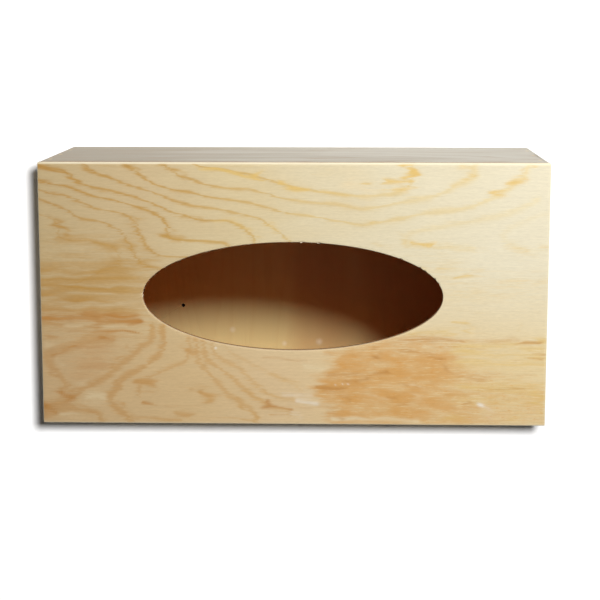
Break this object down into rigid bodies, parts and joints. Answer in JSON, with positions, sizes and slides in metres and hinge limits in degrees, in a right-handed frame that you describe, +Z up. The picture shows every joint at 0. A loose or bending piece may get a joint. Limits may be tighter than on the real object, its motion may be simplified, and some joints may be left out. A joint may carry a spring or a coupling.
{
  "type": "tissue box cover",
  "caption": "Rectangular wooden tissue box cover with an oval opening in its plywood top and a bottom panel that slides out at one end to load tissues.",
  "frame": {"origin": "on the table, under the middle of the box", "axes": "+X along the length towards the end that the bottom slides out of, +Y across towards the back, +Z up towards the opening"},
  "size_m": [0.26, 0.1354, 0.11],
  "materials": {
    "top_plywood": "bare, sanded pine plywood with wavy amber figure",
    "side_plywood": "bare, sanded plywood, straight grain",
    "bottom_plywood": "bare, sanded plywood",
    "brad_steel": "dull"
  },
  "bodies": {
    "case": {"top_panel": "top_plywood", "front_side": "side_plywood", "back_side": "side_plywood", "left_end": "side_plywood", "right_end": "side_plywood", "pins_front_left": "brad_steel", "pins_front_right": "brad_steel", "pins_back_left": "brad_steel", "pins_back_right": "brad_steel"},
    "bottom": {"sliding_bottom": "bottom_plywood"}
  },
  "joints": [
    {"name": "bottom_slide", "type": "slide", "parent": "case", "child": "bottom", "axis": [1, 0, 0], "range_m": [0, 0.258]}
  ]
}
